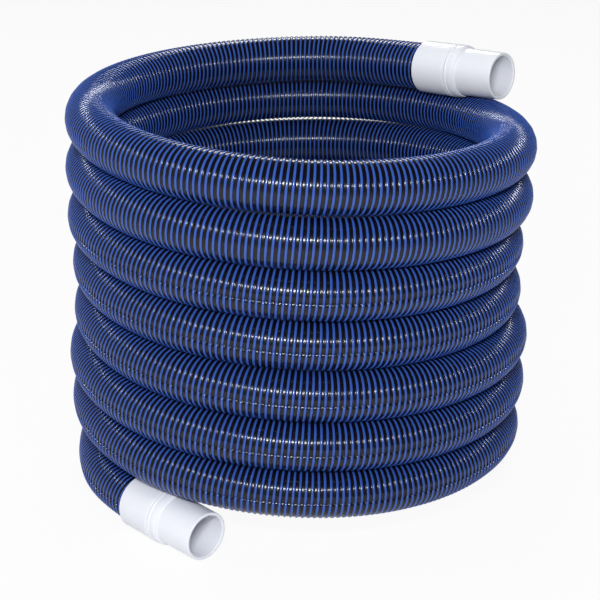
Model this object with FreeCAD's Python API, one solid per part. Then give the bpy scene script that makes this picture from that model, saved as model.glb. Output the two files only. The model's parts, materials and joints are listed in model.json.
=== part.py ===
"""Pool vacuum hose, 30 ft long with a 1 1/2 in bore, coiled, with a swivel cuff at each end.

Frame: millimetres, +Z up, the coil stands on z = 0 and its front is towards -Y.
Along a cuff's own axis, s is 0 at the sleeve's rim and grows towards the nozzle's mouth.
Along the hose, the angle is counted from +X, anticlockwise seen from above, and grows
from the upper end down to the lower one.
"""
import FreeCAD, Part
import os
from math import atan2, cos, degrees, hypot, pi, radians, sin, sqrt, tan

# Hose section
bore_radius = 19.05
web_wall = 1.55
rib_height = 1.85
strip_clearance = 0.05
web_radius = bore_radius + web_wall
hose_radius = web_radius + strip_clearance + rib_height

# Cuff, lengths along its axis
sleeve_length = 38.0
lip_length = 4.4
ring_width = 1.5
spigot_land = 3.3
seal_thickness = 1.7
end_clearance = 0.2
joint_gap = 0.4
bead_width = 2.8
bead_groove_width = 0.5
shoulder_length = 9.0
shoulder_land = 2.6
nozzle_length = 38.5

# Cuff, across its axis
thread_clearance = 0.05
sleeve_wall = 2.3
rim_round = 1.8
rim_chamfer = 0.6
edge_bead_height = 0.2
edge_bead_width = 0.8
edge_bead_place = 2.3
bead_height = 0.3
bead_groove_depth = 0.5
neck_wall = 3.3
mouth_wall = 2.9
lip_round = 0.9
mouth_chamfer = 0.9
shoulder_bulge = 0.27
spigot_wall = 2.2
spigot_clearance = 0.1
ring_groove_depth = 0.9
ring_side_clearance = 0.1
ring_gap = 3.0
seal_recess = 0.5
sleeve_bore = hose_radius + thread_clearance
sleeve_radius = sleeve_bore + sleeve_wall
cuff_radius = sleeve_radius + bead_height
spigot_radius = bore_radius + spigot_wall
nozzle_start = sleeve_length + joint_gap
ring_end = sleeve_length - lip_length - end_clearance
spigot_start = ring_end - ring_width - spigot_land
grip_depth = spigot_start - end_clearance - seal_thickness - end_clearance
cuff_length = nozzle_start + bead_width + bead_groove_width + shoulder_length + nozzle_length

# Coil: wanted radius of the hose's middle line at the back, left, front and right of each turn
turn_radii = [
    [169, 191, 190, 190],
    [194, 192, 193, 190],
    [189, 192, 191, 184],
    [185, 189, 188, 185],
    [185, 189, 193, 194],
    [193, 195, 195, 194],
    [192, 194, 195, 192],
    [186, 189, 215, 215],
]
turn_gap = 0.15
seat_gap = 0.5
crossing_gap = 0.3
turns_above_crossing = 6
points_per_turn = 16
run_angle = 360 / points_per_turn
turn_pitch = 2 * hose_radius + turn_gap
bend_share = 0.45
lead_length = 36.0
upper_join_angle = 35.0
lower_join_angle = 30.0
landing_start = 2495.0
landing_end = 2600.0

# Upper cuff: where its rim is and which way its nozzle points
upper_rim_angle = 44.7
upper_rim_radius = 168.9
upper_heading = -41.3
upper_rise = 3.3

# Lower cuff: the same, lying on the floor
lower_rim_angle = 2744.3
lower_rim_radius = 196.5
lower_heading = -44.0
lower_rise = 0.0


def direction(heading, rise):
    """Unit vector from a compass heading and a rise, both in degrees."""
    level = cos(radians(rise))
    return FreeCAD.Vector(
        cos(radians(heading)) * level, sin(radians(heading)) * level, sin(radians(rise))
    )


def polar(angle, radius, height):
    return FreeCAD.Vector(radius * cos(radians(angle)), radius * sin(radians(angle)), height)


def seat_height(reach, sideways):
    """How far up one round thing's middle lies above another's when it rests on it."""
    return sqrt(reach**2 - sideways**2)


def coil_radius(angle):
    """Wanted radius of the middle line, eased between the quarter-turn values."""
    quarters = [radius for turn in turn_radii for radius in turn]
    place = max(angle / 90 - 1, 0)
    index = min(int(place), len(quarters) - 2)
    ease = (1 - cos(pi * (place - index))) / 2
    return quarters[index] + (quarters[index + 1] - quarters[index]) * ease


def helix_height(angle):
    """Height of an even helix that passes over the lower cuff's bead."""
    return crossing_height + turn_pitch * (crossing_angle - angle) / 360


def coil_height(angle):
    """Height of the middle line: the helix, eased down onto the floor before the lower cuff."""
    if angle <= landing_start:
        return helix_height(angle)
    if angle >= landing_end:
        part = (angle - landing_end) / (lower_rim_angle - landing_end)
        return hose_radius + (cuff_radius - hose_radius) * part
    part = (angle - landing_start) / (landing_end - landing_start)
    drop = helix_height(landing_start) - hose_radius
    slope = -turn_pitch * (landing_end - landing_start) / 360
    return hose_radius + (drop * (1 + 2 * part) + slope * part) * (1 - part) ** 2


def bead_middle(rim, axis):
    """Middle of a cuff's bead, its widest place."""
    return rim + axis * (nozzle_start + bead_width / 2)


def coil_angle(place, turns):
    """Angle along the coil of the hose above or below a place, after that many whole turns."""
    return degrees(atan2(place.y, place.x)) % 360 + 360 * turns


def upper_rim_height():
    """Rim height at which the upper cuff's rim, bead or mouth rests on the turn below it."""
    rests = (
        (upper_rim_level, sleeve_radius),
        (bead_middle(upper_rim_level, upper_axis), cuff_radius),
        (upper_rim_level + upper_axis * cuff_length, bore_radius + mouth_wall),
    )
    heights = []
    for place, radius in rests:
        angle = coil_angle(place, 1)
        sideways = coil_radius(angle) - hypot(place.x, place.y)
        seat = seat_height(radius + hose_radius + seat_gap, sideways)
        heights.append(coil_height(angle) + seat - place.z)
    return max(heights)


# The turn above the lower cuff rests on its bead, and the rest of the coil climbs from there.
lower_axis = direction(lower_heading, lower_rise)
lower_rim = polar(lower_rim_angle, lower_rim_radius, cuff_radius)
lower_bead = bead_middle(lower_rim, lower_axis)
crossing_angle = coil_angle(lower_bead, turns_above_crossing)
crossing_height = lower_bead.z + seat_height(
    cuff_radius + hose_radius + crossing_gap,
    hypot(lower_bead.x, lower_bead.y) - coil_radius(crossing_angle),
)
upper_axis = direction(upper_heading, upper_rise)
upper_rim_level = polar(upper_rim_angle, upper_rim_radius, 0)
upper_rim = upper_rim_level + FreeCAD.Vector(0, 0, upper_rim_height())


def route_points():
    """The hose's route: straight out of the upper cuff, round the coil, into the lower cuff."""
    first = upper_rim_angle + upper_join_angle
    last = lower_rim_angle - lower_join_angle
    steps = round((last - first) / run_angle)
    points = [upper_rim + upper_axis * grip_depth, upper_rim - upper_axis * lead_length]
    for step in range(steps + 1):
        angle = first + (last - first) * step / steps
        radius = coil_radius(angle) / cos(radians(run_angle / 2))
        points.append(polar(angle, radius, coil_height(angle)))
    points.append(lower_rim - lower_axis * lead_length)
    points.append(lower_rim + lower_axis * grip_depth)
    return points


def rounded_path(points):
    """Straight runs joined by tangent arcs. Gives the wire, its length and the arc radii."""
    edges, radii = [], []
    start = points[0]
    for before, corner, after in zip(points, points[1:], points[2:]):
        back, ahead = before - corner, after - corner
        shorter = min(back.Length, ahead.Length)
        half_turn = (pi - back.getAngle(ahead)) / 2
        setback = bend_share * shorter
        radius = setback / tan(half_turn)
        back.normalize()
        ahead.normalize()
        inward = back + ahead
        inward.normalize()
        arc_start = corner + back * setback
        arc_end = corner + ahead * setback
        arc_middle = corner + inward * (radius / cos(half_turn) - radius)
        edges.append(Part.LineSegment(start, arc_start).toShape())
        edges.append(Part.Arc(arc_start, arc_middle, arc_end).toShape())
        start = arc_end
        radii.append(radius)
    edges.append(Part.LineSegment(start, points[-1]).toShape())
    return Part.Wire(edges), sum(edge.Length for edge in edges), radii


def tube(name, points, inner, outer):
    """A round tube along the route."""
    path, length, radii = rounded_path(points)
    heading = points[1] - points[0]
    rods = []
    for radius in (outer, inner):
        rim = Part.Wire(Part.makeCircle(radius, points[0], heading))
        rods.append(path.makePipe(Part.Face(rim)))
    solid = rods[0].cut(rods[1])
    section = pi * (outer**2 - inner**2)
    print(name, "length", round(length), "arc radii", round(min(radii)), "to", round(max(radii)),
          "volume / (section x length)", round(solid.Volume / (section * length), 5))
    return solid


def turned(outline):
    """A solid of revolution about Z from an outline of (radius, s) points and arcs.

    An item of four numbers is an arc: a point on it, then its end.
    """
    edges = []
    start = FreeCAD.Vector(outline[0][0], 0, outline[0][1])
    for item in outline[1:] + outline[:1]:
        end = FreeCAD.Vector(item[-2], 0, item[-1])
        if len(item) == 4:
            middle = FreeCAD.Vector(item[0], 0, item[1])
            edges.append(Part.Arc(start, middle, end).toShape())
        else:
            edges.append(Part.LineSegment(start, end).toShape())
        start = end
    face = Part.Face(Part.Wire(edges))
    return face.revolve(FreeCAD.Vector(), FreeCAD.Vector(0, 0, 1), 360)


def arc_item(centre_r, centre_s, radius, from_angle, to_angle):
    """An outline arc about a centre, with angles in degrees from the outward radius towards +s."""
    middle = radians((from_angle + to_angle) / 2)
    end = radians(to_angle)
    return (
        centre_r + radius * cos(middle), centre_s + radius * sin(middle),
        centre_r + radius * cos(end), centre_s + radius * sin(end),
    )


def make_sleeve():
    """Fixed half: grips the ribs at the back, holds the seal, and its lip keeps the nozzle in."""
    lip_start = sleeve_length - lip_length
    lip_radius = spigot_radius + spigot_clearance
    bead = sleeve_length - edge_bead_place
    outline = [
        (sleeve_bore, rim_chamfer),
        (sleeve_bore + rim_chamfer, 0),
        (sleeve_radius - rim_round, 0),
        arc_item(sleeve_radius - rim_round, rim_round, rim_round, -90, 0),
        (sleeve_radius, bead - edge_bead_width / 2),
        (sleeve_radius + edge_bead_height, bead, sleeve_radius, bead + edge_bead_width / 2),
        (sleeve_radius, sleeve_length - bead_groove_depth),
        (sleeve_radius - bead_groove_depth, sleeve_length),
        (lip_radius, sleeve_length),
        (lip_radius, lip_start),
        (sleeve_bore, lip_start),
    ]
    return turned(outline)


def make_nozzle():
    """Turning half: spigot with its ring groove, bead, rounded shoulder and tapering nozzle."""
    groove_end = ring_end + ring_side_clearance
    groove_start = groove_end - ring_width - 2 * ring_side_clearance
    groove_radius = spigot_radius - ring_groove_depth
    bead_end = nozzle_start + bead_width
    shoulder_start = bead_end + bead_groove_width
    shoulder_end = shoulder_start + shoulder_length
    neck_radius = bore_radius + neck_wall
    mouth_radius = bore_radius + mouth_wall
    step = sleeve_radius - neck_radius
    cove = step / 2
    land_end = shoulder_start + shoulder_land
    outline = [
        (bore_radius, spigot_start),
        (spigot_radius, spigot_start),
        (spigot_radius, groove_start),
        (groove_radius, groove_start),
        (groove_radius, groove_end),
        (spigot_radius, groove_end),
        (spigot_radius, nozzle_start),
        (sleeve_radius - bead_groove_depth, nozzle_start),
        (sleeve_radius, nozzle_start + bead_groove_depth),
        (cuff_radius, nozzle_start + bead_width / 2, sleeve_radius, bead_end - bead_groove_depth),
        (sleeve_radius - bead_groove_depth, bead_end),
        (sleeve_radius - bead_groove_depth, shoulder_start),
        (sleeve_radius, shoulder_start + bead_groove_depth / 2),
        (sleeve_radius, land_end),
        (sleeve_radius - (step - cove) / 2 + shoulder_bulge, (land_end + shoulder_end - cove) / 2,
         neck_radius + cove, shoulder_end - cove),
        arc_item(neck_radius + cove, shoulder_end, cove, -90, -180),
        (mouth_radius, cuff_length - lip_round),
        arc_item(mouth_radius - lip_round, cuff_length - lip_round, lip_round, 0, 90),
        (bore_radius + mouth_chamfer, cuff_length),
        (bore_radius, cuff_length - mouth_chamfer),
    ]
    return turned(outline)


def make_snap_ring():
    """Split ring in the spigot's groove, behind the sleeve's lip."""
    inner = spigot_radius - ring_groove_depth + spigot_clearance
    outer = sleeve_bore - spigot_clearance
    ring = turned([
        (inner, ring_end - ring_width), (outer, ring_end - ring_width),
        (outer, ring_end), (inner, ring_end),
    ])
    slot = Part.makeBox(
        2 * outer, ring_gap, 2 * ring_width,
        FreeCAD.Vector(0, -ring_gap / 2, ring_end - 1.5 * ring_width),
    )
    return ring.cut(slot)


def make_seal():
    """Rubber washer between the hose's end and the spigot."""
    start = grip_depth + end_clearance
    outer = sleeve_bore - spigot_clearance
    inner = bore_radius + seal_recess
    return turned([
        (inner, start), (outer, start),
        (outer, start + seal_thickness), (inner, start + seal_thickness),
    ])


def placed(shape, rim, axis):
    """Moves a cuff piece from its own axis to the rim's middle and the cuff's heading."""
    shape = shape.copy()
    shape.Placement = FreeCAD.Placement(rim, FreeCAD.Rotation(FreeCAD.Vector(0, 0, 1), axis))
    return shape


def build():
    points = route_points()
    pieces = {
        "hose_wall_strip": tube("hose_wall_strip", points, bore_radius, web_radius),
        "hose_rib_strip": tube(
            "hose_rib_strip", points, web_radius + strip_clearance, hose_radius
        ),
    }
    makers = {
        "sleeve": make_sleeve, "nozzle": make_nozzle,
        "snap_ring": make_snap_ring, "seal": make_seal,
    }
    for side, rim, axis in (("upper", upper_rim, upper_axis), ("lower", lower_rim, lower_axis)):
        for name, make in makers.items():
            pieces[side + "_" + name] = placed(make(), rim, axis)
    return pieces


pieces = build()
box = FreeCAD.BoundBox()
for shape in pieces.values():
    box.add(shape.optimalBoundingBox())
shift = FreeCAD.Vector(-box.Center.x, -box.Center.y, 0)
print("shift to the middle", round(shift.x, 3), round(shift.y, 3), "lowest", round(box.ZMin, 3))
os.makedirs("parts", exist_ok=True)
for name, shape in pieces.items():
    shape.translate(shift)
    shape.exportStep("parts/" + name + ".step")
    print(name, shape.isValid(), len(shape.Solids), len(shape.Faces), round(shape.Volume / 1000, 2))
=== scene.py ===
import bpy, bmesh, json
import numpy as np
from math import ceil, cos, pi, radians, sin
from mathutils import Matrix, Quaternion, Vector


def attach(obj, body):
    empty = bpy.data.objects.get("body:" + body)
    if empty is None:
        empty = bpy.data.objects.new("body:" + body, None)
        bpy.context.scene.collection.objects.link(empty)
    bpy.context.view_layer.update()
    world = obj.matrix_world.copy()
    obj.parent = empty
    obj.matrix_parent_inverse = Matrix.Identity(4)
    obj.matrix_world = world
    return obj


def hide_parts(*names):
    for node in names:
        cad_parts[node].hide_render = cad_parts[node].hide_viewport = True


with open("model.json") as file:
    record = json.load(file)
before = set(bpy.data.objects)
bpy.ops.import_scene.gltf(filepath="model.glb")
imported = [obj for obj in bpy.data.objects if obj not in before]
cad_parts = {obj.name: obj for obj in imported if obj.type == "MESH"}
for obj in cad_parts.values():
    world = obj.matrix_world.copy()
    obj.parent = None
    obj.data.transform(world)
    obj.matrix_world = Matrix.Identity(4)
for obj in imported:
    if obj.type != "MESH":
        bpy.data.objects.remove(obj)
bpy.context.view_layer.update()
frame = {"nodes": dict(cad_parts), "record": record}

# Camera: a long lens, a little above the coil and looking down at its front.
# It leans very slightly to one side.
camera_rise = radians(21.836)
camera_tilt = radians(0.994)
camera_distance = 1.411
look_at = Vector((0.0013, 0.0006, 0.1670))
camera_lens = bpy.data.cameras.new("camera_lens")
camera_lens.lens = 88.8
camera_lens.sensor_width = 36.0
camera = bpy.data.objects.new("camera", camera_lens)
camera.location = look_at + camera_distance * Vector((0, -cos(camera_rise), sin(camera_rise)))
camera.rotation_mode = "QUATERNION"
camera.rotation_quaternion = (look_at - camera.location).to_track_quat("-Z", "Y") @ Quaternion(
    (0, 0, 1), camera_tilt)
bpy.context.scene.collection.objects.link(camera)
bpy.context.scene.camera = camera


# Hose wall: the smooth tube that the wound strips make once they are welded edge to edge.
# Black EVA, about 1.5 mm thick. It lies in a coil of about seven and a half turns, and
# runs from the bottom of one cuff's sleeve to the bottom of the other's.
bore_radius = 0.01905
wall_radius = 0.02050
hose_radius = 0.0225
cuff_radius = 0.02515

# The hose goes grip_depth into a sleeve and is straight for lead_length before its rim. The
# rim is mouth_to_rim behind the open end of the nozzle.
grip_depth = 0.0265
lead_length = 0.036
mouth_to_rim = 0.05845
mouths = {mount["name"]: mount for mount in frame["record"]["mounts"]}

# The coil's radius at each quarter of each turn, from the top turn down.
coil_middle = Vector((0.000493, 0.000581, 0))
turn_radii = [
    [0.169, 0.191, 0.190, 0.190],
    [0.194, 0.192, 0.193, 0.190],
    [0.189, 0.192, 0.191, 0.184],
    [0.185, 0.189, 0.188, 0.185],
    [0.185, 0.189, 0.193, 0.194],
    [0.193, 0.195, 0.195, 0.194],
    [0.192, 0.194, 0.195, 0.192],
    [0.186, 0.189, 0.215, 0.215],
]
turn_pitch = 0.04515

# Places along the coil, in degrees round it: its ends, where it crosses over the lower
# cuff, where it starts down from there and lands on the floor, and the lower sleeve's rim.
first_angle = 79.7
last_angle = 2714.3
crossing_angle = 2395.8125
crossing_height = 0.0728745
landing_start = 2495.0
landing_end = 2600.0
lower_rim_angle = 2744.3
run_angle = 22.5


def rim_of(mouth):
    """A sleeve's rim and its axis towards the nozzle, from the mouth's place."""
    axis = Vector(mouths[mouth]["axis"])
    return Vector(mouths[mouth]["pos_m"]) - axis * mouth_to_rim, axis


def coil_radius(angle):
    """Radius of the hose's middle line, eased between the quarter-turn values."""
    quarters = [radius for turn in turn_radii for radius in turn]
    place = max(angle / 90 - 1, 0)
    index = min(int(place), len(quarters) - 2)
    ease = (1 - cos(pi * (place - index))) / 2
    return quarters[index] + (quarters[index + 1] - quarters[index]) * ease


def coil_height(angle):
    """Height of the middle line: an even helix, then eased down onto the floor."""
    if angle <= landing_start:
        return crossing_height + turn_pitch * (crossing_angle - angle) / 360
    if angle >= landing_end:
        part = (angle - landing_end) / (lower_rim_angle - landing_end)
        return hose_radius + (cuff_radius - hose_radius) * part
    part = (angle - landing_start) / (landing_end - landing_start)
    drop = coil_height(landing_start) - hose_radius
    slope = -turn_pitch * (landing_end - landing_start) / 360
    return hose_radius + (drop * (1 + 2 * part) + slope * part) * (1 - part)**2


# The middle line: a corner at every run_angle, rounded into one smooth curve.
upper_rim, upper_axis = rim_of("upper_mouth")
lower_rim, lower_axis = rim_of("lower_mouth")
route = [upper_rim + upper_axis * grip_depth, upper_rim - upper_axis * lead_length]
runs = round((last_angle - first_angle) / run_angle)
for step in range(runs + 1):
    angle = first_angle + (last_angle - first_angle) * step / runs
    radius = coil_radius(angle) / cos(radians(run_angle / 2))
    route.append(coil_middle + Vector((
        radius * cos(radians(angle)), radius * sin(radians(angle)), coil_height(angle))))
route += [lower_rim - lower_axis * lead_length, lower_rim + lower_axis * grip_depth]

route_curve = bpy.data.curves.new("hose_line", "CURVE")
route_curve.dimensions = "3D"
route_curve.resolution_u = 12
route_spline = route_curve.splines.new("NURBS")
route_spline.points.add(len(route) - 1)
for point, place in zip(route_spline.points, route):
    point.co = (*place, 1)
route_spline.order_u = 3
route_spline.use_endpoint_u = True
route_object = bpy.data.objects.new("hose_line", route_curve)
line_mesh = bpy.data.meshes.new_from_object(route_object)
line = np.array([vertex.co for vertex in line_mesh.vertices])
bpy.data.objects.remove(route_object)

# Along the line: how far each point is, and the outward and downward directions there.
reach = np.concatenate([[0], np.cumsum(np.linalg.norm(np.diff(line, axis=0), axis=1))])
hose_length = float(reach[-1])
ahead = np.gradient(line, axis=0)
ahead /= np.linalg.norm(ahead, axis=1)[:, None]
outward = np.cross(ahead, (0, 0, 1))
outward /= np.linalg.norm(outward, axis=1)[:, None]
downward = np.cross(ahead, outward)


def bend_along_hose(mesh):
    """Lays a mesh that was made straight along Z onto the hose's middle line."""
    flat = np.empty(len(mesh.vertices) * 3)
    mesh.vertices.foreach_get("co", flat)
    x, y, z = flat.reshape(-1, 3).T
    middle, out, down = (
        np.stack([np.interp(z, reach, side) for side in table.T], axis=1)
        for table in (line, outward, downward))
    out /= np.linalg.norm(out, axis=1)[:, None]
    down /= np.linalg.norm(down, axis=1)[:, None]
    laid = middle + out * x[:, None] + down * y[:, None]
    mesh.vertices.foreach_set("co", laid.ravel())
    mesh.update()


def repeated(shape, count, spacing):
    """Copies a short length of tube or thread end to end along Z, joined where they meet."""
    unit = bpy.data.meshes.new("unit")
    shape.to_mesh(unit)
    shape.free()
    holder = bpy.data.objects.new("unit", unit)
    bpy.context.scene.collection.objects.link(holder)
    array = holder.modifiers.new("array", "ARRAY")
    array.count = count
    array.use_relative_offset = False
    array.use_constant_offset = True
    array.constant_offset_displace = (0, 0, spacing)
    array.use_merge_vertices = True
    array.merge_threshold = 0.000002
    graph = bpy.context.evaluated_depsgraph_get()
    whole = bmesh.new()
    whole.from_mesh(bpy.data.meshes.new_from_object(holder.evaluated_get(graph)))
    bpy.data.objects.remove(holder)
    return whole


def finish_piece(name, shape, material, smooth=True):
    """Makes a named object from a bmesh, with one material."""
    mesh = bpy.data.meshes.new(name)
    shape.to_mesh(mesh)
    shape.free()
    mesh.materials.append(material)
    if smooth:
        mesh.shade_smooth()
    piece = bpy.data.objects.new(name, mesh)
    bpy.context.scene.collection.objects.link(piece)
    return piece


class Shade:
    """One output of a material's nodes. Sums and products on it add Math nodes."""

    def __init__(self, tree, socket=None):
        self.tree = tree
        self.socket = socket

    def node(self, kind, settings=None, inputs=None, output=0):
        """Adds a node: first its settings, then a value or a link for each input."""
        made = self.tree.nodes.new(kind)
        for key, value in (settings or {}).items():
            setattr(made, key, value)
        for key, value in (inputs or {}).items():
            if isinstance(value, Shade):
                self.tree.links.new(value.socket, made.inputs[key])
            else:
                made.inputs[key].default_value = value
        return Shade(self.tree, made.outputs[output]) if made.outputs else None

    def math(self, operation, first, second):
        return self.node("ShaderNodeMath", {"operation": operation}, {0: first, 1: second})

    def __add__(self, other):
        return self.math("ADD", self, other)

    def __radd__(self, other):
        return self.math("ADD", other, self)

    def __sub__(self, other):
        return self.math("SUBTRACT", self, other)

    def __rsub__(self, other):
        return self.math("SUBTRACT", other, self)

    def __mul__(self, other):
        return self.math("MULTIPLY", self, other)

    def __rmul__(self, other):
        return self.math("MULTIPLY", other, self)


def new_material(name):
    """A material with no nodes yet, and the maker of its nodes."""
    material = bpy.data.materials.new(name)
    material.use_nodes = True
    material.node_tree.nodes.clear()
    return material, Shade(material.node_tree)


def mottle(shade, size, detail=2.0):
    """Soft noise from 0 to 1 all through a piece, in patches of a size in metres."""
    place = shade.node("ShaderNodeTexCoord", output="Object")
    return shade.node("ShaderNodeTexNoise", {"noise_dimensions": "3D"},
                      {"Vector": place, "Scale": 1 / size, "Detail": detail})


def blend(shade, share, dark, light):
    """The colour between two shades, by a share from 0 to 1."""
    return shade.node("ShaderNodeMix", {"data_type": "RGBA"}, {0: share, 6: dark, 7: light}, output=2)


def grained(shade, grain, strength):
    """Normals of a fine grain, 0.2 mm deep at full strength."""
    return shade.node("ShaderNodeBump", None, {
        "Strength": strength, "Distance": 0.0002, "Height": grain})


def coat_with(shade, finish):
    """Ends a material with its surface."""
    surface = shade.node("ShaderNodeBsdfPrincipled", None, finish)
    shade.node("ShaderNodeOutputMaterial", None, {"Surface": surface})


black_eva, shade = new_material("black_eva")
cloud = mottle(shade, 0.05)
coat_with(shade, {
    "Base Color": blend(shade, cloud, (0.002, 0.002, 0.004, 1), (0.004, 0.004, 0.007, 1)),
    "Roughness": 0.16 + 0.04 * cloud,
    "Normal": grained(shade, mottle(shade, 0.0009, 4.0), 0.015),
    "IOR": 1.49, "Specular IOR Level": 0.4})

# Two straight tubes, inner and outer, joined at both ends and then laid along the line.
wall_sides = 24
wall_step = 0.012
wall_rings = ceil(hose_length / wall_step)
wall_shape = bmesh.new()
for radius in (bore_radius, wall_radius):
    ring = bmesh.ops.create_circle(wall_shape, segments=wall_sides, radius=radius)
    edges = list({edge for vertex in ring["verts"] for edge in vertex.link_edges})
    made = bmesh.ops.extrude_edge_only(wall_shape, edges=edges)["geom"]
    bmesh.ops.translate(wall_shape, vec=(0, 0, hose_length / wall_rings),
                        verts=[part for part in made if isinstance(part, bmesh.types.BMVert)])
wall_shape = repeated(wall_shape, wall_rings, hose_length / wall_rings)
open_edges = [edge for edge in wall_shape.edges if edge.is_boundary]
for at_start in (True, False):
    rims = [edge for edge in open_edges
            if (edge.verts[0].co.z < wall_step / 2) == at_start]
    bmesh.ops.bridge_loops(wall_shape, edges=rims)
bmesh.ops.recalc_face_normals(wall_shape, faces=wall_shape.faces)
hose_wall = finish_piece("hose_wall", wall_shape, black_eva)
bend_along_hose(hose_wall.data)
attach(hose_wall, "hose")
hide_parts("hose_wall_strip")


# Rib strip: the blue EVA rib, a low cap 2 mm wide. It is wound round the wall as one long
# left-handed thread and welded down. It is built in eight lengths that meet end to end.
nominal_pitch = 0.00485
rib_turns = round(hose_length / nominal_pitch)
rib_pitch = hose_length / rib_turns
rib_width = 0.0020
rib_foot = 0.0204
strip_lengths = 8
strip_sides = 22

# Each corner's radius, and its place across the strip as a share of the width.
rib_outline = [
    (rib_foot, -0.48), (0.0221, -0.48), (0.02238, -0.34), (hose_radius, -0.14),
    (hose_radius, 0.14), (0.02238, 0.34), (0.0221, 0.48), (rib_foot, 0.48),
]


def wind_strip(name, outline, width, offset, material):
    """Winds a closed outline as a left-handed thread round the hose, in several lengths."""
    pieces = []
    cuts = [round(rib_turns * part / strip_lengths) for part in range(strip_lengths + 1)]
    for index, (start, end) in enumerate(zip(cuts, cuts[1:])):
        strip = bmesh.new()
        corners = [strip.verts.new((radius, 0, start * rib_pitch + offset + across * width))
                   for radius, across in outline]
        edges = [strip.edges.new(pair) for pair in zip(corners, corners[1:] + corners[:1])]
        bmesh.ops.spin(strip, geom=edges, cent=(0, 0, 0), axis=(0, 0, 1), angle=-2 * pi,
                       steps=strip_sides, dvec=(0, 0, rib_pitch / strip_sides))
        strip = repeated(strip, end - start, rib_pitch)
        bmesh.ops.holes_fill(strip, edges=[edge for edge in strip.edges if edge.is_boundary])
        bmesh.ops.recalc_face_normals(strip, faces=strip.faces)
        piece = finish_piece(f"{name}_{index + 1}", strip, material)
        bend_along_hose(piece.data)
        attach(piece, "hose")
        pieces.append(piece)
    return pieces


blue_eva, shade = new_material("blue_eva")
cloud = mottle(shade, 0.06)
coat_with(shade, {
    "Base Color": blend(shade, cloud, (0.026, 0.077, 0.34, 1), (0.032, 0.089, 0.38, 1)),
    "Roughness": 0.17 + 0.04 * cloud,
    "Normal": grained(shade, mottle(shade, 0.0008, 4.0), 0.015),
    "IOR": 1.49})

blue_ribs = wind_strip("rib_strip", rib_outline, rib_width, 0, blue_eva)
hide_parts("hose_rib_strip")


# Web strip: the glossy black EVA between two turns of the rib, welded to both. It bulges a
# little in the middle, dips beside the ribs and climbs their flanks.
web_tuck = 0.0003
web_width = rib_pitch - rib_width + web_tuck
web_outline = [
    (0.0202, -0.5), (0.0221, -0.5), (0.02195, -0.462), (0.0217, -0.443),
    (0.0214, -0.415), (0.02175, -0.1), (0.02175, 0.1), (0.0214, 0.415),
    (0.0217, 0.443), (0.02195, 0.462), (0.0221, 0.5), (0.0202, 0.5),
]
black_webs = wind_strip("web_strip", web_outline, web_width, rib_pitch / 2,
                        black_eva)


# Cuffs: a fixed sleeve and a turning nozzle at each end, both moulded in white EVA. The
# polished mould leaves a faint satin skin. The sleeve is screwed onto the ribs.
def dress_cuffs(part, material):
    """Gives one part of both cuffs its material."""
    for side in ("upper", "lower"):
        cuff_piece = frame["nodes"][side + "_" + part]
        cuff_piece.data.materials.clear()
        cuff_piece.data.materials.append(material)


white_eva, shade = new_material("white_eva")
cloud = mottle(shade, 0.03)
coat_with(shade, {
    "Base Color": blend(shade, cloud, (0.80, 0.82, 0.89, 1), (0.83, 0.85, 0.91, 1)),
    "Roughness": 0.26 + 0.1 * cloud,
    "Normal": grained(shade, mottle(shade, 0.0007, 3.0), 0.06),
    "IOR": 1.49})
dress_cuffs("sleeve", white_eva)
dress_cuffs("nozzle", white_eva)


# Snap rings: split rings of pale grey acetal, sprung into the groove on each spigot
# behind the sleeve's lip, so that the nozzle turns but can't be pulled off.
ring_acetal, shade = new_material("ring_acetal")
cloud = mottle(shade, 0.004)
coat_with(shade, {
    "Base Color": blend(shade, cloud, (0.46, 0.47, 0.49, 1), (0.52, 0.53, 0.55, 1)),
    "Roughness": 0.35 + 0.1 * cloud,
    "IOR": 1.48})
dress_cuffs("snap_ring", ring_acetal)


# Seals: flat washers of dark rubber between the hose's end and the spigot.
# They are cut from sheet, so their faces are dull and slightly grained.
seal_rubber, shade = new_material("seal_rubber")
grain = mottle(shade, 0.0006, 3.0)
coat_with(shade, {
    "Base Color": blend(shade, grain, (0.012, 0.012, 0.013, 1), (0.024, 0.024, 0.025, 1)),
    "Roughness": 0.7,
    "Normal": grained(shade, grain, 0.3),
    "IOR": 1.52})
dress_cuffs("seal", seal_rubber)


# Floor and backdrop: one wide sheet of white paper. What looks at it sees it nearly
# white, with a faint soft shadow. It lights the coil as plain paper does.
floor_half_width = 8
paper_white = 0.93
reflected_white = 0.3
sweep_paper, shade = new_material("sweep_paper")
seen_by_eye = shade.node("ShaderNodeLightPath", output="Is Camera Ray")
seen_in_gloss = shade.node("ShaderNodeLightPath", output="Is Glossy Ray")
seen_through = shade.node("ShaderNodeLightPath", output="Is Transmission Ray")
seen = seen_by_eye + reflected_white * (seen_in_gloss + seen_through)
paper = shade.node("ShaderNodeBsdfDiffuse", None, {"Color": (0.88, 0.88, 0.88, 1)})
glow = shade.node("ShaderNodeEmission", None, {"Color": (1, 1, 1, 1), "Strength": 1.0})
shade.node("ShaderNodeOutputMaterial", None, {"Surface": shade.node(
    "ShaderNodeMixShader", None, {0: seen * paper_white, 1: paper, 2: glow})})
floor_shape = bmesh.new()
bmesh.ops.create_grid(floor_shape, x_segments=1, y_segments=1, size=floor_half_width)
floor = finish_piece("floor", floor_shape, sweep_paper, smooth=False)


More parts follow.
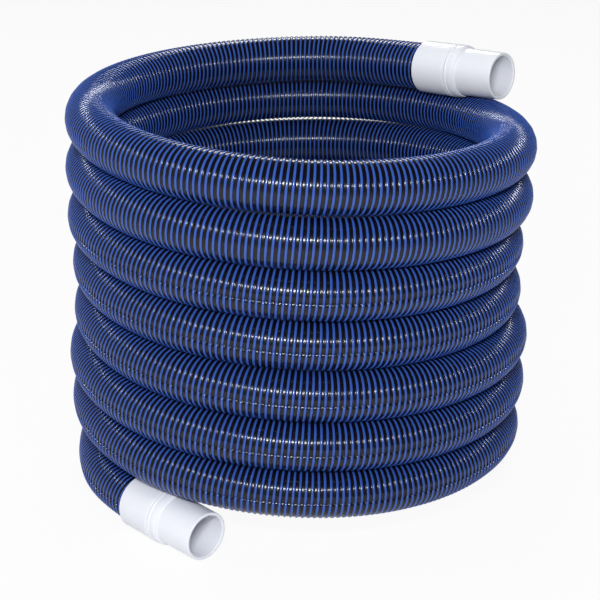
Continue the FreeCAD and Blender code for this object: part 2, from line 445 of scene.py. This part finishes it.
# Studio room: pale walls that are brighter on the left, and a dim ceiling. Gloss picks up
# half of their light, and what is seen straight on behind the coil is nearly white.
wall_light = 0.55
ceiling_light = 0.12
fall_to_right = 0.55
gloss_loss = 0.5
backdrop_white = 0.95

# The walls darken into the ceiling between these heights, where 1 is straight up.
ceiling_starts = 0.35
ceiling_full = 0.75
world = bpy.data.worlds.new("studio")
world.use_nodes = True
world.node_tree.nodes.clear()
shade = Shade(world.node_tree)
gaze = shade.node("ShaderNodeTexCoord", output="Generated")
to_right = shade.node("ShaderNodeSeparateXYZ", None, {"Vector": gaze}, output="X")
upward = shade.node("ShaderNodeSeparateXYZ", None, {"Vector": gaze}, output="Z")
walls = shade.node("ShaderNodeMapRange", {"interpolation_type": "SMOOTHSTEP"}, {
    "Value": upward, "From Min": ceiling_starts, "From Max": ceiling_full,
    "To Min": wall_light, "To Max": ceiling_light})
walls = walls * (1 - fall_to_right * to_right)
seen_by_eye = shade.node("ShaderNodeLightPath", output="Is Camera Ray")
seen_in_gloss = shade.node("ShaderNodeLightPath", output="Is Glossy Ray")
room = shade.node("ShaderNodeBackground", None, {
    "Color": (1, 1, 1, 1),
    "Strength": walls * (1 - gloss_loss * seen_in_gloss) + seen_by_eye * (backdrop_white - walls)})
shade.node("ShaderNodeOutputWorld", None, {"Surface": room})
bpy.context.scene.world = world


# Lamps: a narrow key box in front of the coil and above it, a wider box high behind it, and
# a square one overhead that gives soft light and no highlight.
coil_centre = Vector((0, 0, 0.2))


def soft_box(name, place, width, height, power):
    """A soft box that points at the middle of the coil."""
    light = bpy.data.lights.new(name, "AREA")
    light.shape = "RECTANGLE"
    light.size = width
    light.size_y = height
    light.energy = power
    lamp = bpy.data.objects.new(name, light)
    lamp.location = place
    lamp.rotation_euler = (coil_centre - Vector(place)).to_track_quat("-Z", "Y").to_euler()
    bpy.context.scene.collection.objects.link(lamp)
    return lamp


soft_box("key_box", (-0.05, -1.23, 0.875), 0.36, 0.07, 13.5)
soft_box("back_box", (0, 1.6, 1.25), 0.8, 0.3, 8)
top_box = soft_box("top_box", (-0.2, 0.1, 1.6), 1.0, 1.0, 5)
top_box.visible_glossy = False

bpy.context.scene.view_settings.view_transform = "Standard"
